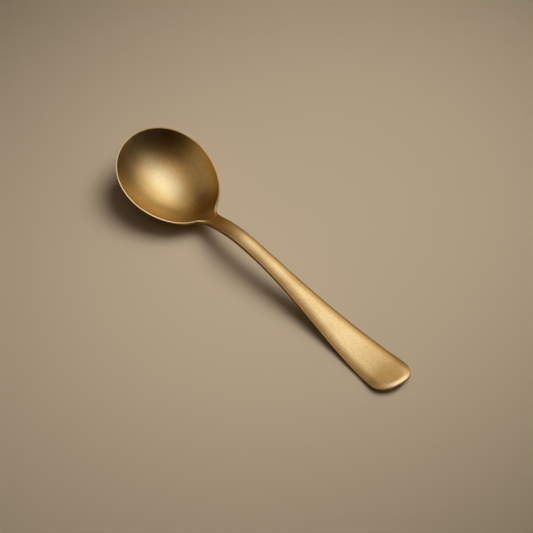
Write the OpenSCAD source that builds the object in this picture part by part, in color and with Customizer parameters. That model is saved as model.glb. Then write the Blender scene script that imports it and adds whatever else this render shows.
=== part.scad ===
// Serving spoon in satin brass: a pressed round bowl, a forged handle, and the
// brazed scarf joint in the neck that holds the two together.
// Lengths are in millimetres. The spoon lies on a table at z = 0, with the handle
// along +X and the origin in the middle of the flat that the bowl rests on.

/* [Bowl] */
// Length of the bowl from its tip to the neck
bowl_l = 61.5; // [50:0.5:75]
// Width of the bowl across its middle
bowl_w = 52.5; // [40:0.5:65]
// Depth of the inside below the rim
bowl_depth = 14.5; // [10:0.5:20]
// Thickness of the metal at the bottom of the bowl
bowl_t = 1.2; // [0.8:0.1:2]
// Width of the flat land ground on the rim
rim_w = 0.7; // [0.6:0.1:1.6]
// Height of the upright band under the rim's outer edge
rim_band = 0.3; // [0.2:0.1:0.8]
// How upright the wall is at the rim: 1 is a half round, more is a flatter dish
wall_round = 1.15; // [1.08:0.01:1.4]
// How much fuller the tip half is than the neck half, as a share of the width
bowl_egg = 0.07; // [0:0.002:0.1]
// Height of the rim's tip above the middle of the rim
tip_lift = 6.8; // [2:0.1:8]

/* [Neck] */
// Width of the neck at its narrowest
neck_w = 8.2; // [5:0.2:11]
// Height of the neck's sides
neck_side = 3.2; // [1.6:0.1:4]
// Depth of the rounded belly under the neck
neck_belly = 1; // [0.2:0.1:1.5]
// Radius of the two shoulders between bowl and neck
shoulder_r = 8.3; // [4:0.1:12]
// Distance before the end of the bowl at which its inside starts to rise to the neck
throat_run = 22; // [18:0.5:24]
// Distance before the end of the bowl at which its wall starts to thicken
thick_run = 18; // [8:0.5:18]
// Length over which the bowl's inside rolls over into the neck
throat_r = 8; // [4:0.5:12]
// Height over which the rim and the neck's arch round into each other
valley_r = 2; // [0.5:0.5:4]
// How far below the rim the neck's arch meets the end of the bowl
valley_drop = 1.6; // [0:0.1:2.5]
// Distance from the end of the bowl to the crest of the neck
crest_run = 27.5; // [20:0.5:34]
// Height of the neck's edges at the crest
crest_h = 16.4; // [13:0.1:24]

/* [Handle] */
// Length of the whole spoon along its middle
spoon_l = 205.5; // [170:0.5:240]
// Width that the handle flares to at its end
handle_w = 23.2; // [16:0.2:30]
// Thickness of the handle's edge at its end
handle_t = 1.9; // [1.4:0.1:3]
// Width of the border over which the handle's top rolls down to its edges
roll_w = 5; // [3:0.5:8]
// Angle at which the rolled top meets the edges
roll_angle = 26; // [10:1:40]
// Width of the rolled border round the handle's end
end_roll = 2.5; // [1.5:0.5:8]
// Angle at which the rolled top meets the edge of the end
end_angle = 33; // [10:1:45]
// Width of the narrow land along the handle's top edges
edge_w = 0.4; // [0.2:0.1:0.8]
// Distance before the handle's end at which it touches the table and turns up
land_l = 21; // [16:0.5:40]
// Height that the end is turned up by
end_lift = 3.2; // [0:0.1:4]
// Length of the rounded end
end_l = 11; // [6:0.5:14]
// How square the rounded end is: 2 is an ellipse
end_square = 2.4; // [2:0.05:3.5]
// Angle of the end's slant, which carries its +Y corner further out
end_slant = 12; // [-15:0.5:15]

/* [Joint] */
// Distance from the end of the bowl to the middle of the scarf joint
joint_run = 13; // [10:0.5:16]
// Length of the scarf, along the neck
scarf_l = 7; // [4:0.5:9]
// Thickness of the film of braze in the joint
seam_t = 0.2; // [0.1:0.05:0.4]

/* [Hidden] */

// Depth ground off the two undersides so that they rest flat on the table
rest_cut = 0.2;
// Facets across the top of a section, and stations along each stretch
across = 20;
tip_steps = 25;
shoulder_steps = 12;
neck_steps = 9;
shaft_steps = 22;
end_steps = 9;
// Angle round the bowl, from its tip, of the first and last of the tip's stations
tip_first = 3;
tip_last = 150;
// How late along the handle the flare opens: 1 is an even curve
flare_late = 1.25;
// Reach of the cutting blocks past the spoon
spare = 20;
brass = "#b98d48";
braze = "#c9a25c";

// Stations along X are measured from the middle of the bowl
bowl_a = bowl_l / 2;
bowl_b = bowl_w / 2;
crest_x = bowl_a + crest_run;
end_x = spoon_l - bowl_a;
cap_x = end_x - end_l;
land_x = end_x - land_l;
joint_x = bowl_a + joint_run;
wall_flat = sqrt(wall_round * wall_round - 1);
wall_full = bowl_depth + bowl_t;
// The rim is higher at the tip, so the bowl's lowest point lies nearer the neck
rest_s = tip_lift * wall_round * (wall_round - wall_flat) / wall_full;
rest_x = rest_s * bowl_a;
rim_h = wall_full * dome(rest_s * rest_s) + tip_lift * rest_s - rest_cut;
// Where the bowl starts to thicken towards the neck, and where it has its full section
throat_x = bowl_a - throat_run;
thick_x = bowl_a - thick_run;
full_x = bowl_a + shoulder_r;

// Rises smoothly from 0 to 1 as t goes from 0 to 1
function ease(t) =
    let (c = min(max(t, 0), 1))
    c * c * (3 - 2 * c);

// The value between p and q at share t
function mix(p, q, t) = p + (q - p) * t;

// The lower of p and q, with the corner between them rounded over a height k
function round_min(p, q, k) =
    let (near = k > 0 ? max(k - abs(p - q), 0) / k : 0)
    min(p, q) - near * near * k / 4;

// Depth of a round dish as a share of its full depth, from the squared distance
// to its middle, which is 1 at the rim
function dome(r2) =
    (sqrt(max(wall_round * wall_round - r2, 0)) - wall_flat) / (wall_round - wall_flat);

// Squared distance from the bowl's middle, 1 on the outline that lies o inside the rim
function dish_r2(x, y, o) =
    let (s = x / (bowl_a - o))
    let (v = y / ((bowl_b - o) * (1 - bowl_egg * s)))
    s * s + v * v;

// Height of the rim at x
function rim_z(x) = rim_h - tip_lift * x / bowl_a;

// Height of the neck's arch at x, which is level at the crest
function arch_z(x) =
    let (back = (crest_x - x) / crest_run)
    mix(crest_h, rim_z(bowl_a) - valley_drop, back * back);

// How far the end is turned up at x
function end_rise(x) =
    let (s = max(x - land_x, 0) / land_l)
    end_lift * s * s;

// Height of the top edges at x: the rim, then the neck's arch, then down to the table
// and up again to the turned-up end
function edge_z(x) =
    x < throat_x ? rim_z(x)
    : x < crest_x ? -round_min(-rim_z(x), -arch_z(x), valley_r)
    : mix(crest_h, handle_t, down_share(x)) + end_rise(x);

// What the rounded end leaves of the handle's width at x, o inside the edge, as a share
function end_share(x, o) =
    let (c = min(max((x - cap_x) / (end_l - o), 0), 1))
    pow(1 - pow(c, end_square), 1 / end_square);

// Half the width of the neck and handle at x, o inside the edge, before the end is rounded
function stem_w(x, o) =
    let (t = max((x - crest_x) / (end_x - crest_x), 0))
    mix(neck_w, handle_w, ease(pow(t, flare_late))) / 2 - o;

// Half the width of the neck and handle at x, o inside the edge
function stem_half(x, o) = stem_w(x, o) * end_share(x, o);

// Height of the handle's rolled top above its edges at x, a share u of the way from the
// middle to the inner edge. It is level in the middle and rolls down along the border,
// which narrows round the end.
function roll_z(x, u) =
    let (w = stem_w(x, edge_w))
    let (turn = ease((x - cap_x) / end_l))
    let (run = min(mix(roll_w, end_roll, turn), w))
    let (p = pow(end_share(x, edge_w), end_square))
    let (r = pow(1 - p * (1 - pow(abs(u), end_square)), 1 / end_square))
    let (out = 1 - min((1 - r) * w / run, 1))
    tan(mix(roll_angle, end_angle, turn)) * run / 2 * (1 - out * out);

// Half the width of the spoon at x: o is the distance inside the bowl's rim, and e
// the distance inside the handle's edges. The shoulder is an arc that touches both.
function half_width(x, o, e) =
    let (n = neck_w / 2 - e)
    let (r = shoulder_r + o)
    let (a = bowl_a - o)
    let (b = (bowl_b - o) * (1 - bowl_egg))
    let (round_r = b * b / a)
    let (mid = a - round_r)
    let (arc_x = mid + sqrt((round_r + r) * (round_r + r) - (n + r) * (n + r)))
    let (touch_x = mid + (arc_x - mid) * round_r / (round_r + r))
    let (s = max(min(x / a, 1), -1))
    x < touch_x ? (bowl_b - o) * (1 - bowl_egg * s) * sqrt(1 - s * s)
    : x < arc_x ? n + r - sqrt(r * r - (arc_x - x) * (arc_x - x))
    : stem_half(x, e);

// How far along the neck has its full section at x, from 0 to 1
function neck_share(x) = ease((x - thick_x) / (full_x - thick_x));

// How far the handle has come down from the crest to the table at x, from 0 to 1
function down_share(x) = ease((x - crest_x) / (land_x - crest_x));

// Height over which bowl and neck round into each other at x, none at the edges
function throat_round(x, u) = throat_r * ease((x - throat_x) / throat_r) * (1 - u * u);

// The bowl's surface near the tip, the neck's past the shoulders, and both between
function joined(x, u, dish, stem) =
    x < throat_x ? dish
    : x > full_x ? stem
    : round_min(dish, stem, throat_round(x, u));

// Height of the spoon's top at x, a share u of the way from the middle to the inner edge
function top_z(x, u) =
    let (r2 = dish_r2(x, u * half_width(x, rim_w, edge_w), rim_w))
    let (roll = roll_z(x, u) * ease((x - bowl_a) / crest_run))
    joined(x, u, rim_z(x) - bowl_depth * dome(r2), edge_z(x) + roll);

// Height of the sides at x
function side_h(x) =
    x < full_x ? mix(rim_band, neck_side, neck_share(x))
    : mix(neck_side, handle_t + rest_cut, down_share(x));

// Height of the spoon's underside at x, a share u of the way from the middle to the edge
function under_z(x, u) =
    let (r2 = dish_r2(x, u * half_width(x, 0, 0), 0))
    let (dish = rim_z(x) - rim_band - (wall_full - rim_band) * dome(r2))
    let (belly = neck_belly * neck_share(x) * (1 - down_share(x)))
    joined(x, u, dish, edge_z(x) - side_h(x) - belly * (1 - u * u));

// The station on the inner edge that belongs to station x on the outer edge
function inner_x(x) =
    x < 0 ? x * (bowl_a - rim_w) / bowl_a
    : x > cap_x ? cap_x + (x - cap_x) * (end_l - edge_w) / end_l
    : x;

// The point at x, y and z, carried along the handle where the end is slanted
function at(x, y, z) = [x + tan(end_slant) * ease((x - land_x) / land_l) * y, y, z];

// One closed section: the top from left to right, then the underside back again
function section(x) =
    let (w = half_width(x, 0, 0))
    let (xi = inner_x(x))
    let (wi = half_width(xi, rim_w, edge_w))
    let (shares = [for (i = [0:across]) sin(180 * i / across - 90)])
    [
        at(x, -w, edge_z(x)),
        for (u = shares) at(xi, u * wi, top_z(xi, u)),
        at(x, w, edge_z(x)),
        for (i = [across:-1:0]) at(x, shares[i] * w, under_z(x, shares[i]))
    ];

// Values in steps from p to q, without q
function steps(p, q, n) = [for (i = [0:n - 1]) mix(p, q, i / n)];

tip_end = -bowl_a * cos(tip_last);
STATIONS = [
    for (i = [0:tip_steps - 1]) -bowl_a * cos(mix(tip_first, tip_last, i / tip_steps)),
    each steps(tip_end, full_x, shoulder_steps),
    each steps(full_x, crest_x, neck_steps),
    each steps(crest_x, cap_x, shaft_steps),
    for (i = [0:end_steps - 1]) cap_x + end_l * sin(90 * i / end_steps),
    cap_x + end_l * cos(tip_first)
];

// A solid skinned over the sections at the given stations
module skin(stations) {
    rings = [for (x = stations) section(x)];
    n = len(rings[0]);
    last = len(rings) - 1;
    half_n = n / 2;
    sides = [
        for (i = [0:last - 1], j = [0:n - 1])
            let (k = (j + 1) % n)
            let (p = i * n + j, q = i * n + k)
            each [[p, q, q + n], [p, q + n, p + n]]
    ];
    ends = [
        for (j = [0:half_n - 2])
            let (p = j, q = j + 1, r = n - 2 - j, s = n - 1 - j)
            each [[p, s, q], [q, s, r]]
    ];
    far_end = [for (f = ends) [last * n + f[0], last * n + f[2], last * n + f[1]]];
    translate([-rest_x, 0, 0])
        polyhedron([for (ring = rings) each ring], concat(sides, ends, far_end));
}

// The stations from x = p to x = q
function between(p, q) = [for (x = STATIONS) if (x > p && x < q) x];

// Everything on the handle's side of the scarf plane, shifted along the neck by dx.
// The plane is steeper than the neck by the angle that makes the scarf its length.
module past_scarf(dx) {
    neck_t = neck_side + neck_belly + roll_z(joint_x, 0);
    neck_angle = atan2(edge_z(joint_x + scarf_l / 2) - edge_z(joint_x - scarf_l / 2), scarf_l);
    scarf_angle = atan2(neck_t, scarf_l);
    middle_z = edge_z(joint_x) - neck_side / 2;
    translate([joint_x - rest_x + dx, 0, middle_z])
        rotate([0, -neck_angle - scarf_angle, 0])
            translate([-spoon_l, -bowl_w, -spoon_l])
                cube([2 * spoon_l, 2 * bowl_w, spoon_l]);
}

// The table's top, which both undersides are ground flat against
module table() {
    translate([-bowl_l, -bowl_w, -spare])
        cube([2 * spoon_l, 2 * bowl_w, spare]);
}

module bowl() {
    color(brass)
        difference() {
            skin(between(-bowl_l, joint_x + 2 * scarf_l));
            past_scarf(0);
            table();
        }
}

module handle() {
    color(brass)
        difference() {
            intersection() {
                skin(between(joint_x - 2 * scarf_l, spoon_l));
                past_scarf(seam_t);
            }
            table();
        }
}

module braze_seam() {
    color(braze)
        difference() {
            intersection() {
                skin(between(joint_x - 2 * scarf_l, joint_x + 2 * scarf_l));
                past_scarf(0);
            }
            past_scarf(seam_t);
        }
}

bowl();
handle();
braze_seam();
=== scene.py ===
"""The looks of a satin brass serving spoon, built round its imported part.

Sizes in the classes are in millimetres, and meshes are in metres. In the spoon's own formulas
x runs from the middle of the bowl along the handle, y across and z up from the table.
"""
import bisect
import logging
import math
from dataclasses import dataclass, field
from enum import Enum
from functools import cached_property
from itertools import accumulate

import bmesh
import bpy
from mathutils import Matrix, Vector


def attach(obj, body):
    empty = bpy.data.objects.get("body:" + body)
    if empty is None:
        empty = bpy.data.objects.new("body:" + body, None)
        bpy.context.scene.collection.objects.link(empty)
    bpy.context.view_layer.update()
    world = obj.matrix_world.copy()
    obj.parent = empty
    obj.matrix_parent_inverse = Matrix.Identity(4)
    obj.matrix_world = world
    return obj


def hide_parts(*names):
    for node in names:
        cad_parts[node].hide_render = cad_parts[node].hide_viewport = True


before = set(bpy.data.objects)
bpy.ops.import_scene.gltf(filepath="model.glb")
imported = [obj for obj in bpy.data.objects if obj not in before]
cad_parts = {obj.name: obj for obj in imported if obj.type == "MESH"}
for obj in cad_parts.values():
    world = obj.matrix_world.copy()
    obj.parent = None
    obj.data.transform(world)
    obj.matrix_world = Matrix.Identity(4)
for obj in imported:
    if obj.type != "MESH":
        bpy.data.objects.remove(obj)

MM = 0.001
WELD_MM = 1e-4
CUT_MM = 1e-5
# A Mix node's sockets for colours, by number, because its other sockets share their names
MIX_SHARE, MIX_A, MIX_B, MIX_OUT = 0, 6, 7, 2
LOG = logging.getLogger("spoon")


def ease(t: float) -> float:
    """Rises smoothly from 0 to 1 as t goes from 0 to 1.

    Args:
        t: Share of the way, which may lie outside 0 to 1.

    Returns:
        The eased share.
    """
    c = min(max(t, 0.0), 1.0)
    return c * c * (3.0 - 2.0 * c)


def mix(p: float, q: float, t: float) -> float:
    """The value between p and q at share t."""
    return p + (q - p) * t


def round_min(p: float, q: float, k: float) -> float:
    """The lower of two heights, with the corner between them rounded.

    Args:
        p: One height.
        q: The other height.
        k: Height over which the corner is rounded, 0 for none.

    Returns:
        The joined height.
    """
    near = max(k - abs(p - q), 0.0) / k if k > 0.0 else 0.0
    return min(p, q) - near * near * k / 4.0


def corner(p: float, c: float, q: float, t: float) -> float:
    """A value on the arc that leaves p towards the corner c and arrives at q, at share t."""
    return (1.0 - t) ** 2 * p + 2.0 * t * (1.0 - t) * c + t * t * q


@dataclass(frozen=True)
class SpoonForm:
    """The spoon's surfaces as formulas, with the same sizes as the part."""

    bowl_l: float = 61.5
    bowl_w: float = 52.5
    bowl_depth: float = 14.5
    bowl_t: float = 1.2
    rim_w: float = 0.7
    rim_band: float = 0.3
    wall_round: float = 1.15
    bowl_egg: float = 0.07
    tip_lift: float = 6.8
    neck_w: float = 8.2
    neck_side: float = 3.2
    neck_belly: float = 1.0
    shoulder_r: float = 8.3
    throat_run: float = 22.0
    thick_run: float = 18.0
    throat_r: float = 8.0
    valley_r: float = 2.0
    valley_drop: float = 1.6
    crest_run: float = 27.5
    crest_h: float = 16.4
    spoon_l: float = 205.5
    handle_w: float = 23.2
    handle_t: float = 1.9
    roll_w: float = 5.0
    roll_angle: float = 26.0
    end_roll: float = 2.5
    end_angle: float = 33.0
    edge_w: float = 0.4
    land_l: float = 21.0
    end_lift: float = 3.2
    end_l: float = 11.0
    end_square: float = 2.4
    end_slant: float = 12.0
    flare_late: float = 1.25
    rest_cut: float = 0.2
    joint_run: float = 13.0
    scarf_l: float = 7.0
    seam_t: float = 0.2

    @cached_property
    def a(self) -> float:
        """Half the bowl's length."""
        return self.bowl_l / 2.0

    @cached_property
    def b(self) -> float:
        """Half the bowl's width."""
        return self.bowl_w / 2.0

    @cached_property
    def crest_x(self) -> float:
        """Station of the neck's crest."""
        return self.a + self.crest_run

    @cached_property
    def end_x(self) -> float:
        """Station of the handle's end."""
        return self.spoon_l - self.a

    @cached_property
    def cap_x(self) -> float:
        """Station where the rounded end starts."""
        return self.end_x - self.end_l

    @cached_property
    def land_x(self) -> float:
        """Station where the handle lies on the table and starts to turn up."""
        return self.end_x - self.land_l

    @cached_property
    def throat_x(self) -> float:
        """Station where the bowl's inside starts to rise to the neck."""
        return self.a - self.throat_run

    @cached_property
    def thick_x(self) -> float:
        """Station where the bowl's wall starts to thicken."""
        return self.a - self.thick_run

    @cached_property
    def full_x(self) -> float:
        """Station from which the neck has its full section."""
        return self.a + self.shoulder_r

    @cached_property
    def wall_flat(self) -> float:
        """Height left over at the rim of the round that the wall is taken from."""
        return math.sqrt(self.wall_round**2 - 1.0)

    @cached_property
    def wall_full(self) -> float:
        """Depth of the bowl's outside below the rim."""
        return self.bowl_depth + self.bowl_t

    @cached_property
    def rest_s(self) -> float:
        """Share of the bowl's half length at which its lowest point lies."""
        return self.tip_lift * self.wall_round * (self.wall_round - self.wall_flat) / self.wall_full

    @cached_property
    def rest_x(self) -> float:
        """Station of the part's origin, under the bowl's lowest point."""
        return self.rest_s * self.a

    @cached_property
    def rim_h(self) -> float:
        """Height of the rim at the bowl's middle."""
        return self.wall_full * self.dome(self.rest_s**2) + self.tip_lift * self.rest_s - self.rest_cut

    def dome(self, r2: float) -> float:
        """Depth of a round dish as a share of its full depth, from the squared distance to its middle."""
        height = math.sqrt(max(self.wall_round**2 - r2, 0.0)) - self.wall_flat
        return height / (self.wall_round - self.wall_flat)

    def dish_r2(self, x: float, y: float, o: float) -> float:
        """Squared distance from the bowl's middle, as a share.

        Args:
            x: Station along the spoon.
            y: Distance across the spoon.
            o: Distance inside the bowl's rim.

        Returns:
            The share, which is 1 on the outline that lies o inside the rim.
        """
        s = x / (self.a - o)
        v = y / ((self.b - o) * (1.0 - self.bowl_egg * s))
        return s * s + v * v

    def rim_z(self, x: float) -> float:
        """Height of the rim's plane at x."""
        return self.rim_h - self.tip_lift * x / self.a

    def down_share(self, x: float) -> float:
        """How far the handle has come down from the crest to the table at x."""
        return ease((x - self.crest_x) / (self.land_x - self.crest_x))

    def neck_share(self, x: float) -> float:
        """How far along the neck has its full section at x."""
        return ease((x - self.thick_x) / (self.full_x - self.thick_x))

    def edge_z(self, x: float) -> float:
        """Height of the spoon's top edges.

        Args:
            x: Station along the spoon.

        Returns:
            The height: the rim, the neck's arch, down to the table and up at the end.
        """
        if x < self.throat_x:
            return self.rim_z(x)
        if x < self.crest_x:
            back = (self.crest_x - x) / self.crest_run
            arch = mix(self.crest_h, self.rim_z(self.a) - self.valley_drop, back * back)
            return -round_min(-self.rim_z(x), -arch, self.valley_r)
        s = max(x - self.land_x, 0.0) / self.land_l
        return mix(self.crest_h, self.handle_t, self.down_share(x)) + self.end_lift * s * s

    def stem_width(self, x: float) -> float:
        """Half the width of the neck and handle at x, before the end is rounded."""
        t = max((x - self.crest_x) / (self.end_x - self.crest_x), 0.0)
        return mix(self.neck_w, self.handle_w, ease(t**self.flare_late)) / 2.0

    def end_share(self, x: float, e: float) -> float:
        """What the rounded end leaves of the handle's width at x, e inside the edge, as a share."""
        c = min(max((x - self.cap_x) / (self.end_l - e), 0.0), 1.0)
        return (1.0 - c**self.end_square) ** (1.0 / self.end_square)

    def end_skew(self, x: float) -> float:
        """How far the slant carries a point at x along the handle, for each millimetre across."""
        return math.tan(math.radians(self.end_slant)) * ease((x - self.land_x) / self.land_l)

    def roll_z(self, x: float, u: float) -> float:
        """Height of the handle's rolled top above its edges.

        Args:
            x: Station along the spoon.
            u: Share of the way from the middle to the inner edge.

        Returns:
            The height, which is level in the middle and rolls down along the border. The border
            narrows round the end.
        """
        w = self.stem_width(x) - self.edge_w
        turn = ease((x - self.cap_x) / self.end_l)
        run = min(mix(self.roll_w, self.end_roll, turn), w)
        angle = math.radians(mix(self.roll_angle, self.end_angle, turn))
        n = self.end_square
        r = (1.0 - self.end_share(x, self.edge_w) ** n * (1.0 - abs(u) ** n)) ** (1.0 / n)
        out = 1.0 - min((1.0 - r) * w / run, 1.0)
        return math.tan(angle) * run / 2.0 * (1.0 - out * out)

    def half_width(self, x: float, o: float, e: float) -> float:
        """Half the width of the spoon at x.

        Args:
            x: Station along the spoon.
            o: Distance inside the bowl's rim.
            e: Distance inside the handle's edges.

        Returns:
            The half width: the bowl's outline, the shoulder's arc, then the neck and handle.
        """
        n = self.neck_w / 2.0 - e
        r = self.shoulder_r + o
        a = self.a - o
        b = (self.b - o) * (1.0 - self.bowl_egg)
        round_r = b * b / a
        mid = a - round_r
        arc_x = mid + math.sqrt((round_r + r) ** 2 - (n + r) ** 2)
        touch_x = mid + (arc_x - mid) * round_r / (round_r + r)
        if x < touch_x:
            s = max(min(x / a, 1.0), -1.0)
            return (self.b - o) * (1.0 - self.bowl_egg * s) * math.sqrt(1.0 - s * s)
        if x < arc_x:
            return n + r - math.sqrt(r * r - (arc_x - x) ** 2)
        return (self.stem_width(x) - e) * self.end_share(x, e)

    def joined(self, x: float, u: float, dish: float, stem: float) -> float:
        """Joins the bowl's surface to the neck's.

        Args:
            x: Station along the spoon.
            u: Share of the way from the middle to the edge.
            dish: Height of the bowl's surface.
            stem: Height of the neck's surface.

        Returns:
            The bowl's height near the tip, the neck's past the shoulders, and both between.
        """
        if x < self.throat_x:
            return dish
        if x > self.full_x:
            return stem
        k = self.throat_r * ease((x - self.throat_x) / self.throat_r) * (1.0 - u * u)
        return round_min(dish, stem, k)

    def top_z(self, x: float, y: float) -> float:
        """Height of the spoon's top.

        Args:
            x: Station along the spoon.
            y: Distance across the spoon, inside the land on its edge.

        Returns:
            The height of the bowl's inside or of the handle's rolled top.
        """
        w = self.half_width(x, self.rim_w, self.edge_w)
        u = max(min(y / w, 1.0), -1.0) if w > 0.0 else 0.0
        dish = self.rim_z(x) - self.bowl_depth * self.dome(self.dish_r2(x, y, self.rim_w))
        roll = self.roll_z(x, u) * ease((x - self.a) / self.crest_run)
        return self.joined(x, u, dish, self.edge_z(x) + roll)

    def side_h(self, x: float) -> float:
        """Height of the spoon's sides.

        Args:
            x: Station along the spoon.

        Returns:
            The height, which grows from the rim's band to the neck's sides and falls to the handle's.
        """
        if x < self.full_x:
            return mix(self.rim_band, self.neck_side, self.neck_share(x))
        return mix(self.neck_side, self.handle_t + self.rest_cut, self.down_share(x))

    def under_z(self, x: float, y: float) -> float:
        """Height of the spoon's underside.

        Args:
            x: Station along the spoon.
            y: Distance across the spoon.

        Returns:
            The height, which is ground flat where the spoon meets the table.
        """
        w = self.half_width(x, 0.0, 0.0)
        u = max(min(y / w, 1.0), -1.0) if w > 0.0 else 0.0
        dome = self.dome(self.dish_r2(x, y, 0.0))
        dish = self.rim_z(x) - self.rim_band - (self.wall_full - self.rim_band) * dome
        belly = self.neck_belly * self.neck_share(x) * (1.0 - self.down_share(x))
        stem = self.edge_z(x) - self.side_h(x) - belly * (1.0 - u * u)
        return max(self.joined(x, u, dish, stem), 0.0)


@dataclass(frozen=True)
class Inset:
    """How far a ring of the skin lies inside the outline: o on the bowl, e on the handle."""

    o: float
    e: float


class Bend(Enum):
    """The bends over which the skin turns from the top to the underside."""

    INNER = "from the top to the land on its edge"
    OUTER = "from the land to the side"
    UNDER = "from the side to the underside"


@dataclass(frozen=True)
class Spot:
    """A soft round spot of painted highlight or painted shade. Distances across count by the weight, so a
    low one draws it out.
    """

    x: float
    y: float
    reach: float
    painted_light: float
    across_weight: float = 1.0

    def at(self, x: float, y: float) -> float:
        """What the mark gives to a point, fading out towards its reach."""
        away = math.hypot(x - self.x, self.across_weight * (y - self.y))
        return self.painted_light * (1.0 - ease(away / self.reach))


@dataclass(frozen=True)
class PaintedLight:
    """Painted light: up to 1 where a painted highlight brightens the brass, down to -1 where painted shade
    darkens it.

    A painted highlight lies on the crest, the bottom of the bowl, the tip, the border round the end and
    the edge at -Y. Painted shade lies in the throat of the bowl, on the steep wall beside its tip, on the
    sides and on the edge at +Y.
    """

    form: SpoonForm
    # Painted highlight spot on the bottom of the bowl
    bottom: Spot = Spot(0.0, -3.0, 26.0, 0.45)
    # Painted shade spot in the throat of the bowl
    throat: Spot = Spot(23.75, 5.0, 11.5, -0.6, 0.6)
    # Painted shade spot on the steep wall beside the tip
    wall: Spot = Spot(-19.0, 18.0, 21.0, -0.8)
    # Painted highlight on the neck's crest, with where it rises and falls away
    crest_highlight: float = 0.75
    crest_highlight_start: float = 8.0
    crest_highlight_rise: float = 12.0
    crest_highlight_past: float = 2.0
    crest_highlight_fall: float = 14.0
    # Painted highlight on the border round the end
    end_highlight: float = 0.5
    border_w: float = 3.5
    border_rise: float = 3.0
    end_gain: float = 1.6
    # Painted highlight on the edge at -Y, fading out across
    lit_share: float = 0.55
    lit_fade: float = 0.8
    shoulder_reach: float = 15.0
    # Less of the painted highlight on the edge at the shoulder
    shoulder_dim: float = 0.9
    # Painted shade on the rim and on the handle's edges at +Y
    rim_shade: float = 0.25
    edge_shade: float = 0.85
    # Painted shade on the sides
    side_shade: float = 0.85

    def to_end(self, x: float) -> float:
        """How far round the handle's end a point at x lies."""
        return ease((x - self.form.cap_x) / self.form.end_l * self.end_gain)

    def top(self, x: float, y: float) -> float:
        """The painted light on the top.

        Args:
            x: Station along the spoon.
            y: Distance across the spoon.

        Returns:
            The painted highlights of the crest and of the border round the end, and the painted highlight
            and painted shade spots in the bowl, together.
        """
        form = self.form
        # Painted highlight on the crest and round the end, and the painted spots in the bowl
        rise = ease((x - form.a - self.crest_highlight_start) / self.crest_highlight_rise)
        fall = ease((x - form.crest_x - self.crest_highlight_past) / self.crest_highlight_fall)
        border = ease((x - form.end_x + self.border_w) / self.border_rise)
        spots = sum(spot.at(x, y) for spot in (self.bottom, self.throat, self.wall))
        return self.crest_highlight * rise * (1.0 - fall) + self.end_highlight * border + spots

    def edge(self, x: float, y: float) -> float:
        """The painted light on the land on the edge.

        Args:
            x: Station along the spoon.
            y: Distance across the spoon.

        Returns:
            A painted highlight on the tip, the end and the edge at -Y, less of it at the shoulder, and
            painted shade at +Y.
        """
        form = self.form
        share = y / form.half_width(min(max(x, 0.0), form.cap_x), 0.0, 0.0)
        shoulder = 1.0 - ease(abs(x - form.a) / self.shoulder_reach)
        # Painted highlight on the edge at -Y and round the end, painted shade elsewhere
        lit_edge = ease((self.lit_share - share) / self.lit_fade) * (1.0 - self.shoulder_dim * shoulder)
        painted_shade = mix(self.rim_shade, self.edge_shade, form.neck_share(x))
        return mix(-painted_shade, 1.0, max(lit_edge, self.to_end(x)))

    def ring(self, x: float, y: float, bend: Bend, t: float) -> float:
        """The painted light on one of the rings that turn the top over to the underside.

        Args:
            x: Station of the outline.
            y: Distance of the outline from the middle.
            bend: Bend that the ring lies on.
            t: Share of the way round the bend.

        Returns:
            The top's painted light, then the edge's, then the sides', which carry painted shade but for the
            end.
        """
        if bend is Bend.INNER:
            return mix(self.top(x, y), self.edge(x, y), t)
        # Painted shade on the sides, less of it round the end
        side = -self.side_shade * (1.0 - self.to_end(x))
        if bend is Bend.OUTER:
            return mix(self.edge(x, y), side, ease(t))
        return mix(side, 0.0, t)


@dataclass(frozen=True)
class SkinLayers:
    """The values that each point of the skin carries."""

    row: bmesh.types.BMLayerItem
    col: bmesh.types.BMLayerItem
    # Painted light: a painted highlight above 0, painted shade below 0
    painted_light: bmesh.types.BMLayerItem

    @classmethod
    def on(cls, bm: bmesh.types.BMesh) -> "SkinLayers":
        """Adds the layers to a mesh."""
        ints, floats = bm.verts.layers.int, bm.verts.layers.float
        return cls(ints.new("row"), ints.new("col"), floats.new("painted_light"))


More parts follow.
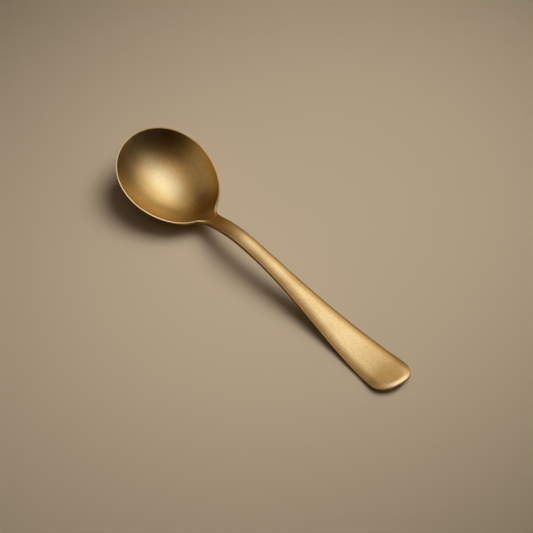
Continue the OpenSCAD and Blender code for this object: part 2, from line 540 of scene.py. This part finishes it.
@dataclass
class SpoonBlank:
    """The whole spoon's skin, before it is parted at the scarf joint."""

    form: SpoonForm
    # Painted highlights and painted shade on the skin
    light_marks: PaintedLight
    spacing: float = 0.8
    trial_steps: int = 16
    tip_rows: int = 44
    end_rows: int = 18
    across: int = 72
    skin_inset: float = 0.05
    inner_round: float = 0.15
    rim_round: float = 0.2
    edge_round: float = 0.24
    rim_under: float = 0.07
    edge_under: float = 0.6
    inner_steps: int = 4
    outer_steps: int = 5
    under_steps: int = 5

    @cached_property
    def stations(self) -> list[float]:
        """Stations from the bowl's middle to the rounded end.

        Returns:
            Stations that are evenly spaced along the outline, picked from finer trial steps.
        """
        count = round(self.form.cap_x / (self.spacing / self.trial_steps))
        xs = [self.form.cap_x * i / count for i in range(count + 1)]
        ws = [self.form.half_width(x, 0.0, 0.0) for x in xs]
        steps = [math.hypot(xs[i + 1] - xs[i], ws[i + 1] - ws[i]) for i in range(count)]
        run = [0.0, *accumulate(steps)]
        rows = round(run[-1] / self.spacing)
        found = [xs[min(bisect.bisect_left(run, run[-1] * i / rows), count)] for i in range(rows)]
        return [*found, self.form.cap_x]

    @cached_property
    def rows(self) -> int:
        """Number of steps along the spoon."""
        return self.tip_rows + len(self.stations) - 1 + self.end_rows

    def plan(self, row: int, col: int, inset: Inset) -> tuple[float, float]:
        """Where a point of the skin lies, seen from above.

        Args:
            row: Step along the spoon, from the tip.
            col: Step across the spoon.
            inset: How far inside the outline the skin's edge lies.

        Returns:
            x and y. Both round ends are a square that is drawn out to a disc.
        """
        form = self.form
        v = 2.0 * col / self.across - 1.0
        body = len(self.stations) - 1
        if self.tip_rows <= row <= self.tip_rows + body:
            x = self.stations[row - self.tip_rows]
            return x, v * form.half_width(x, inset.o, inset.e)
        on_tip = row < self.tip_rows
        s = row / self.tip_rows - 1.0 if on_tip else (row - self.tip_rows - body) / self.end_rows
        p = s * math.sqrt(1.0 - v * v / 2.0)
        q = v * math.sqrt(1.0 - s * s / 2.0)
        if on_tip:
            return (form.a - inset.o) * p, (form.b - inset.o) * (1.0 - form.bowl_egg * p) * q
        n = form.end_square
        stretch = math.hypot(p, q) / (abs(p) ** n + abs(q) ** n) ** (1.0 / n)
        x = form.cap_x + (form.end_l - inset.e) * p * stretch
        return x, (form.stem_width(x) - inset.e) * q * stretch

    @cached_property
    def rings(self) -> list[tuple[Bend, float]]:
        """The rings from the top's edge to the underside: a bend, and the share of the way round it."""
        counts = zip(Bend, (self.inner_steps, self.outer_steps, self.under_steps))
        return [(bend, i / count) for bend, count in counts for i in range(count + 1)][1:]

    def top_edge(self) -> Inset:
        """Where the top ends and the bend to the land begins."""
        return Inset(self.form.rim_w + self.inner_round, self.form.edge_w + self.inner_round)

    def under_edge(self, x: float) -> Inset:
        """Where the bend from the side to the underside ends, at one station of the outline."""
        d = self.skin_inset + mix(self.rim_under, self.edge_under, self.form.neck_share(x))
        return Inset(d, d)

    def ring_point(self, row: int, col: int, bend: Bend, t: float) -> tuple[float, float, float]:
        """A point on one of the rings that turn the top's edge over to the underside.

        Args:
            row: Step along the spoon, from the tip.
            col: Step across the spoon.
            bend: Bend that the ring lies on.
            t: Share of the way round the bend.

        Returns:
            x, y and z in the spoon's formulas.
        """
        form = self.form
        x, _ = self.plan(row, col, Inset(0.0, 0.0))
        land = form.edge_z(x) - self.skin_inset
        if bend is Bend.INNER:
            step = self.inner_round * (1.0 - 2.0 * t)
            top = form.top_z(*self.plan(row, col, self.top_edge()))
            plan = self.plan(row, col, Inset(form.rim_w + step, form.edge_w + step))
            return *plan, corner(top, land, land, t)
        if bend is Bend.OUTER:
            r = mix(self.rim_round, self.edge_round, form.neck_share(x))
            d = self.skin_inset + corner(r, 0.0, 0.0, t)
            return *self.plan(row, col, Inset(d, d)), corner(land, land, land - r, t)
        r = mix(self.rim_under, self.edge_under, form.neck_share(x))
        low = max(form.edge_z(x) - form.side_h(x), 0.0)
        under = form.under_z(*self.plan(row, col, self.under_edge(x)))
        d = self.skin_inset + corner(0.0, 0.0, r, t)
        return *self.plan(row, col, Inset(d, d)), corner(low + r, low, under, t)

    def sheet(self, bm: bmesh.types.BMesh, layers: SkinLayers) -> list[bmesh.types.BMVert]:
        """Adds one flat sheet of the skin and notes each point's row and column.

        Args:
            bm: Mesh to add to.
            layers: Where rows and columns are kept.

        Returns:
            The sheet's points.
        """
        made = bmesh.ops.create_grid(bm, x_segments=self.rows, y_segments=self.across, size=1.0)
        for vert in made["verts"]:
            vert[layers.row] = round((vert.co.x + 1.0) / 2.0 * self.rows)
            vert[layers.col] = round((vert.co.y + 1.0) / 2.0 * self.across)
        return made["verts"]

    def place(self, vert: bmesh.types.BMVert, x: float, y: float, z: float) -> None:
        """Puts a point at its place in the part's frame."""
        vert.co = Vector((x + self.form.end_skew(x) * y - self.form.rest_x, y, z)) * MM

    def build(self) -> bmesh.types.BMesh:
        """Makes the closed skin.

        Returns:
            A closed mesh of the whole spoon, in metres.
        """
        form = self.form
        bm = bmesh.new()
        layers = SkinLayers.on(bm)
        for vert in self.sheet(bm, layers):
            x, y = self.plan(vert[layers.row], vert[layers.col], self.top_edge())
            # Painted highlight and painted shade on the top
            vert[layers.painted_light] = self.light_marks.top(x, y)
            self.place(vert, x, y, form.top_z(x, y))
        rim = [edge for edge in bm.edges if edge.is_boundary]
        for bend, t in self.rings:
            rim = self.turn_over(bm, layers, rim, bend, t)
        for vert in self.sheet(bm, layers):
            x, _ = self.plan(vert[layers.row], vert[layers.col], Inset(0.0, 0.0))
            x, y = self.plan(vert[layers.row], vert[layers.col], self.under_edge(x))
            self.place(vert, x, y, form.under_z(x, y))
        bmesh.ops.remove_doubles(bm, verts=bm.verts, dist=WELD_MM * MM)
        bmesh.ops.recalc_face_normals(bm, faces=bm.faces)
        return bm

    def turn_over(
        self,
        bm: bmesh.types.BMesh,
        layers: SkinLayers,
        rim: list[bmesh.types.BMEdge],
        bend: Bend,
        t: float,
    ) -> list[bmesh.types.BMEdge]:
        """Draws the skin's open edge on to the next ring.

        Args:
            bm: Mesh to add to.
            layers: Where rows and columns are kept.
            rim: The open edge.
            bend: Bend that the ring lies on.
            t: Share of the way round the bend.

        Returns:
            The new open edge.
        """
        made = bmesh.ops.extrude_edge_only(bm, edges=rim)["geom"]
        for vert in (item for item in made if isinstance(item, bmesh.types.BMVert)):
            row, col = vert[layers.row], vert[layers.col]
            outline = self.plan(row, col, Inset(0.0, 0.0))
            # Painted highlight and painted shade on the rings round the edge
            vert[layers.painted_light] = self.light_marks.ring(*outline, bend, t)
            self.place(vert, *self.ring_point(row, col, bend, t))
        return [item for item in made if isinstance(item, bmesh.types.BMEdge) and item.is_boundary]


class Side(Enum):
    """Which side of the scarf plane a piece keeps."""

    BOWL = "bowl"
    HANDLE = "handle"


def srgb(colour: str) -> tuple[float, float, float, float]:
    """Turns an sRGB hex colour to linear.

    Args:
        colour: Six hex digits after a hash sign.

    Returns:
        Linear red, green, blue and an alpha of 1.
    """
    parts = [int(colour[i : i + 2], 16) / 255.0 for i in (1, 3, 5)]
    linear = [p / 12.92 if p <= 0.04045 else ((p + 0.055) / 1.055) ** 2.4 for p in parts]
    return (*linear, 1.0)


def add_node(
    tree: bpy.types.NodeTree, kind: str, settings: dict | None = None, links: dict | None = None
) -> bpy.types.Node:
    """Adds a node with its settings and links.

    Args:
        tree: Node tree to add to.
        kind: Blender's name of the node type.
        settings: Node properties, or values of its inputs by name or number.
        links: Output sockets to link, by the input's name or number.

    Returns:
        The new node.
    """
    node = tree.nodes.new(kind)
    for name, value in (settings or {}).items():
        if isinstance(name, str) and hasattr(node, name):
            setattr(node, name, value)
        else:
            node.inputs[name].default_value = value
    for name, socket in (links or {}).items():
        tree.links.new(socket, node.inputs[name])
    return node


@dataclass(frozen=True)
class SatinBrass:
    """Brass, brushed along the spoon with a fine abrasive and left unlacquered.

    The strokes give a broad, soft gleam with faint streaks and a fine grain, and the metal dulls in
    slow clouds. Painted highlights make some edges and spots paler, and painted shade turns others a deep
    brown.
    """

    name: str = "brushed_brass"
    bright: str = "#dec48e"
    dulled: str = "#c5a76d"
    # Colours that the painted highlights and the painted shade blend towards
    highlight_colour: str = "#efdda8"
    shade_colour: str = "#7a5817"
    roughness_low: float = 0.33
    roughness_high: float = 0.4
    stroke_l: float = 14.0
    # A real stroke is about 0.1 mm wide, which is too fine to show, so it is drawn at 0.5 mm
    stroke_w: float = 0.5
    stroke_depth: float = 0.012
    # The grain of the abrasive is finer still, and is drawn at 1.1 mm
    grain_size: float = 1.1
    cloud_size: float = 22.0
    noise_harsh: float = 0.6
    # The three patterns add up to about 1.5, and this range of their sum runs from dulled to bright
    marks_low: float = 1.15
    marks_high: float = 1.85
    streak_low: float = 0.3
    streak_high: float = 0.7
    relief: float = 0.5

    def noise(
        self, tree: bpy.types.NodeTree, place: bpy.types.NodeSocket, scale: float, detail: float
    ) -> bpy.types.NodeSocket:
        """Adds a noise pattern.

        Args:
            tree: The material's node tree.
            place: Where the pattern takes its place from.
            scale: Scale of the pattern.
            detail: How many finer layers it has.

        Returns:
            The pattern's socket, from 0 to 1.
        """
        settings = {"Scale": scale, "Detail": detail, "Roughness": self.noise_harsh}
        return add_node(tree, "ShaderNodeTexNoise", settings, {"Vector": place}).outputs["Fac"]

    def blend(
        self, tree: bpy.types.NodeTree, share: bpy.types.NodeSocket, base: bpy.types.NodeSocket, colour: str
    ) -> bpy.types.NodeSocket:
        """Adds a mix from a socket's colour to a fixed one, by a share from 0 to 1."""
        settings = {"data_type": "RGBA", MIX_B: srgb(colour)}
        return add_node(tree, "ShaderNodeMix", settings, {MIX_SHARE: share, MIX_A: base}).outputs[MIX_OUT]

    def make(self) -> bpy.types.Material:
        """Builds the material.

        Returns:
            The new material.
        """
        material = bpy.data.materials.new(self.name)
        material.use_nodes = True
        tree = material.node_tree
        tree.nodes.clear()
        place = add_node(tree, "ShaderNodeTexCoord").outputs["Object"]
        per_m = 1.0 / MM
        scale = (per_m / self.stroke_l, per_m / self.stroke_w, 0.0)
        along = add_node(tree, "ShaderNodeMapping", {"Scale": scale}, {"Vector": place})
        strokes = self.noise(tree, along.outputs[0], 1.0, 3.0)
        grain = self.noise(tree, place, per_m / self.grain_size, 2.0)
        clouds = self.noise(tree, place, per_m / self.cloud_size, 2.0)
        fine = add_node(tree, "ShaderNodeMath", {"operation": "ADD"}, {0: strokes, 1: grain})
        marks = add_node(tree, "ShaderNodeMath", {"operation": "ADD"}, {0: fine.outputs[0], 1: clouds})
        share = add_node(
            tree,
            "ShaderNodeMapRange",
            {"From Min": self.marks_low, "From Max": self.marks_high},
            {"Value": marks.outputs[0]},
        )
        tone = add_node(
            tree,
            "ShaderNodeMix",
            {"data_type": "RGBA", MIX_A: srgb(self.dulled), MIX_B: srgb(self.bright)},
            {MIX_SHARE: share.outputs[0]},
        )
        # Blends in the painted highlights and the painted shade that the mesh carries
        painted_light = add_node(tree, "ShaderNodeAttribute", {"attribute_name": "painted_light"}).outputs["Fac"]
        painted_shade = add_node(tree, "ShaderNodeMath", {"operation": "MULTIPLY", 1: -1.0}, {0: painted_light})
        highlighted = self.blend(tree, painted_light, tone.outputs[MIX_OUT], self.highlight_colour)
        shaded = self.blend(tree, painted_shade.outputs[0], highlighted, self.shade_colour)
        streaks = add_node(
            tree,
            "ShaderNodeMapRange",
            {
                "From Min": self.streak_low,
                "From Max": self.streak_high,
                "To Min": self.roughness_low,
                "To Max": self.roughness_high,
            },
            {"Value": strokes},
        )
        relief = add_node(
            tree,
            "ShaderNodeBump",
            {"Strength": self.relief, "Distance": self.stroke_depth * MM},
            {"Height": strokes},
        )
        metal = add_node(
            tree,
            "ShaderNodeBsdfPrincipled",
            {"Metallic": 1.0},
            {"Base Color": shaded, "Roughness": streaks.outputs[0], "Normal": relief.outputs[0]},
        )
        add_node(tree, "ShaderNodeOutputMaterial", {}, {"Surface": metal.outputs[0]})
        return material


@dataclass(frozen=True)
class PaleFloor:
    """Matt painted board: an even, warm beige with hardly any gloss."""

    name: str = "painted_board"
    colour: str = "#c8b599"

    def make(self) -> bpy.types.Material:
        """Builds the material.

        Returns:
            The new material.
        """
        material = bpy.data.materials.new(self.name)
        material.use_nodes = True
        tree = material.node_tree
        tree.nodes.clear()
        paint = add_node(
            tree,
            "ShaderNodeBsdfPrincipled",
            {"Base Color": srgb(self.colour), "Roughness": 1.0, "Specular IOR Level": 0.0},
        )
        add_node(tree, "ShaderNodeOutputMaterial", {}, {"Surface": paint.outputs[0]})
        return material


def stand_for(
    bm: bmesh.types.BMesh, name: str, node: str, material: bpy.types.Material
) -> bpy.types.Object:
    """Turns a finished mesh into a piece that stands for a node of the part.

    Args:
        bm: The mesh, which is freed.
        name: Name of the piece.
        node: Node that it stands for.
        material: Finish of the piece.

    Returns:
        The new object, riding on the part's one body.
    """
    mesh = bpy.data.meshes.new(name)
    for face in bm.faces:
        face.smooth = True
    bm.to_mesh(mesh)
    bm.free()
    mesh.materials.append(material)
    piece = bpy.data.objects.new(name, mesh)
    bpy.context.scene.collection.objects.link(piece)
    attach(piece, "root")
    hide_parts(node)
    low, high = (Vector(c) / MM for c in (piece.bound_box[0], piece.bound_box[6]))
    LOG.info("%s: %d faces, from %s to %s mm", name, len(mesh.polygons), low.to_tuple(1), high.to_tuple(1))
    return piece


@dataclass
class Spoon:
    """The bowl, the handle and the film of braze that joins them."""

    form: SpoonForm
    finish: SatinBrass
    braze: SatinBrass
    blank: SpoonBlank = field(init=False)

    def __post_init__(self) -> None:
        """Prepares the blank that the pieces are cut from."""
        self.blank = SpoonBlank(self.form, PaintedLight(self.form))

    def scarf(self, shift: float) -> tuple[Vector, Vector]:
        """The scarf plane in the neck.

        Args:
            shift: How far along the neck the plane is moved.

        Returns:
            A point on the plane, in metres, and its normal, which points to the bowl's side.
        """
        form = self.form
        x = form.a + form.joint_run
        rise = form.edge_z(x + form.scarf_l / 2.0) - form.edge_z(x - form.scarf_l / 2.0)
        neck_t = form.neck_side + form.neck_belly + form.roll_z(x, 0.0)
        angle = math.atan2(rise, form.scarf_l) + math.atan2(neck_t, form.scarf_l)
        point = Vector((x - form.rest_x + shift, 0.0, form.edge_z(x) - form.neck_side / 2.0))
        return point * MM, Vector((-math.sin(angle), 0.0, math.cos(angle)))

    def cut(self, bm: bmesh.types.BMesh, shift: float, keep: Side) -> None:
        """Parts the mesh at the scarf and closes it again.

        Args:
            bm: Mesh to cut.
            shift: How far along the neck the plane is moved.
            keep: Which side stays.
        """
        point, normal = self.scarf(shift)
        made = bmesh.ops.bisect_plane(
            bm,
            geom=[*bm.verts, *bm.edges, *bm.faces],
            dist=CUT_MM * MM,
            plane_co=point,
            plane_no=normal,
            clear_inner=keep is Side.BOWL,
            clear_outer=keep is Side.HANDLE,
        )
        edges = [item for item in made["geom_cut"] if isinstance(item, bmesh.types.BMEdge)]
        bmesh.ops.edgeloop_fill(bm, edges=edges)
        for edge in edges:
            edge.smooth = False
        bmesh.ops.recalc_face_normals(bm, faces=bm.faces)

    def build(self) -> None:
        """Cuts the three pieces from the blank and dresses them."""
        blank = self.blank.build()
        brass = self.finish.make()
        film = self.braze.make()
        bowl = blank.copy()
        self.cut(bowl, 0.0, Side.BOWL)
        stand_for(bowl, "bowl_pressing", "bowl", brass)
        handle = blank.copy()
        self.cut(handle, self.form.seam_t, Side.HANDLE)
        stand_for(handle, "handle_forging", "handle", brass)
        self.cut(blank, 0.0, Side.HANDLE)
        self.cut(blank, self.form.seam_t, Side.BOWL)
        stand_for(blank, "braze_film", "braze_seam", film)


class Serves(Enum):
    """What a panel of light is there for."""

    METAL = "shows in the metal, and leaves the table alone"
    TABLE = "lights the table, and leaves the metal alone"


@dataclass(frozen=True)
class Panel:
    """A round, soft panel of light. Right, back and left are as the camera sees them.

    It hangs in the direction of right and back above the camera's aim, and faces the table at a
    place that lies a little to the left of the aim.
    """

    name: str
    serves: Serves
    right: float
    back: float
    across: float
    power: float
    colour: str
    distance: float = 800.0
    spread: float = 180.0
    aim_left: float = 0.0
    least_up: float = 0.4

    @property
    def up(self) -> float:
        """How far up the panel's direction points."""
        return math.sqrt(max(1.0 - self.right**2 - self.back**2, self.least_up**2))

    def make(self) -> bpy.types.Light:
        """Builds the light.

        Returns:
            The new area light.
        """
        light = bpy.data.lights.new(self.name, "AREA")
        light.shape = "DISK"
        light.size = self.across * MM
        light.spread = math.radians(self.spread)
        light.energy = self.power
        light.color = srgb(self.colour)[:3]
        return light


@dataclass(frozen=True)
class Studio:
    """The table, the light and the camera."""

    elevation: float = 58.08
    azimuth: float = -45.12
    distance: float = 1079.2
    aim_x: float = 63.3
    aim_y: float = 3.4
    lens: float = 134.0
    clip_near: float = 10.0
    clip_far: float = 20000.0
    floor_reach: float = 4000.0
    panels: tuple[Panel, ...] = (
        Panel("key", Serves.METAL, 0.26, 0.21, 700.0, 1.18, "#b4d4ff"),
        Panel("key_right", Serves.METAL, 0.50, 0.02, 560.0, 0.55, "#bcd8ff"),
        Panel("key_back", Serves.METAL, 0.50, 0.45, 800.0, 0.93, "#ffeedd"),
        Panel("ceiling", Serves.METAL, 0.22, 0.22, 1500.0, 2.45, "#ffdc9c"),
        Panel("top_front", Serves.METAL, 0.08, -0.12, 700.0, 0.37, "#ffe1e1"),
        Panel("left_wall", Serves.METAL, -0.80, -0.22, 900.0, 0.67, "#ffe0be"),
        Panel("back_wall", Serves.METAL, 0.20, 0.87, 1000.0, 0.46, "#ffd9a0"),
        Panel("front", Serves.METAL, -0.22, -0.62, 560.0, 0.11, "#ffdcb0"),
        Panel("back_left", Serves.METAL, -0.50, 0.80, 450.0, 0.11, "#ffb468"),
        Panel("right_wall", Serves.METAL, 0.91, 0.10, 700.0, 0.06, "#ffb060"),
        Panel("table_key", Serves.TABLE, 0.40, 0.34, 440.0, 0.40, "#ffffff", 400.0, 61.0, 20.0),
        Panel("table_fill", Serves.TABLE, 0.0, 0.0, 2400.0, 3.4, "#fff0e0", 1500.0),
    )
    world_colour: str = "#0c0804"
    world_strength: float = 1.0

    def aim(self) -> Vector:
        """The point on the table that the camera looks at, in metres."""
        return Vector((self.aim_x, self.aim_y, 0.0)) * MM

    def to_camera(self) -> Vector:
        """Direction from the aim to the camera."""
        e, a = math.radians(self.elevation), math.radians(self.azimuth)
        return Vector((math.cos(e) * math.cos(a), math.cos(e) * math.sin(a), math.sin(e)))

    def seen(self, right: float, back: float, up: float) -> Vector:
        """Turns a direction as the camera sees it to the part's frame.

        Args:
            right: How far it points to the right.
            back: How far it points away from the camera, along the table.
            up: How far it points up from the table.

        Returns:
            The direction in the part's frame.
        """
        a = math.radians(self.azimuth)
        x = Vector((-math.sin(a), math.cos(a), 0.0))
        y = Vector((-math.cos(a), -math.sin(a), 0.0))
        return x * right + y * back + Vector((0.0, 0.0, up))

    def add(self, name: str, data: bpy.types.ID, place: Vector, faces: Vector) -> bpy.types.Object:
        """Adds a light or camera.

        Args:
            name: Name of the object.
            data: The light or camera.
            place: Where it is, in metres.
            faces: The point that it faces, in metres.

        Returns:
            The new object.
        """
        made = bpy.data.objects.new(name, data)
        made.location = place
        made.rotation_euler = (faces - place).to_track_quat("-Z", "Y").to_euler()
        bpy.context.scene.collection.objects.link(made)
        return made

    def build(self) -> None:
        """Lays the table, hangs the panels and sets the camera."""
        scene = bpy.context.scene
        scene.view_settings.view_transform = "Standard"
        bm = bmesh.new()
        bmesh.ops.create_grid(bm, x_segments=1, y_segments=1, size=self.floor_reach * MM)
        mesh = bpy.data.meshes.new("table")
        bm.to_mesh(mesh)
        bm.free()
        mesh.materials.append(PaleFloor().make())
        table = bpy.data.objects.new("table", mesh)
        scene.collection.objects.link(table)
        for panel in self.panels:
            away = self.seen(panel.right, panel.back, panel.up).normalized() * panel.distance * MM
            faces = self.aim() + self.seen(-panel.aim_left, 0.0, 0.0) * MM
            lamp = self.add(panel.name, panel.make(), self.aim() + away, faces)
            lamp.visible_diffuse = panel.serves is Serves.TABLE
            lamp.visible_glossy = panel.serves is Serves.METAL
        camera = bpy.data.cameras.new("camera")
        camera.lens = self.lens
        camera.clip_start = self.clip_near * MM
        camera.clip_end = self.clip_far * MM
        place = self.aim() + self.to_camera() * self.distance * MM
        scene.camera = self.add("camera", camera, place, self.aim())
        world = bpy.data.worlds.new("studio")
        world.use_nodes = True
        glow = world.node_tree.nodes["Background"]
        glow.inputs["Color"].default_value = srgb(self.world_colour)
        glow.inputs["Strength"].default_value = self.world_strength
        scene.world = world


def main() -> None:
    """Builds the spoon and its studio."""
    logging.basicConfig(level=logging.INFO, format="%(message)s")
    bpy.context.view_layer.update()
    Studio().build()
    Spoon(SpoonForm(), SatinBrass(), SatinBrass(name="dressed_braze")).build()


if __name__ == "__main__":
    main()
